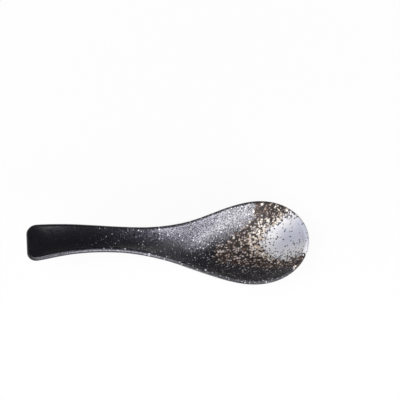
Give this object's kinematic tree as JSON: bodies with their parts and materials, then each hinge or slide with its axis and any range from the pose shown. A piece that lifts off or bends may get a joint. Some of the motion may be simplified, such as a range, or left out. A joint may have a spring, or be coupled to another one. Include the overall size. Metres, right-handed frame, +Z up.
{
  "type": "ceramic soup spoon",
  "caption": "Deep oval soup spoon with a raised, faintly dished handle and a flat foot, in black glaze with a brown speckled band and a pale tip.",
  "frame": {"origin": "centre of the foot's flat underside, on the surface that the spoon stands on", "axes": "+X from the handle towards the tip of the bowl, +Z up, +Y to the left when looking along +X"},
  "size_m": [0.1648, 0.0554, 0.0402],
  "materials": {
    "bare_clay": "matte fired clay",
    "black_glaze": "satin gloss with fine pale specks",
    "speckled_glaze": "grainy satin, brown and cream granules over black",
    "white_glaze": "satin gloss, cool white with a few dark specks"
  },
  "bodies": {
    "root": {"stoneware_body": "bare_clay", "black_glaze_coat": "black_glaze", "speckled_brown_glaze": "speckled_glaze", "white_glaze_tip": "white_glaze"}
  },
  "joints": []
}
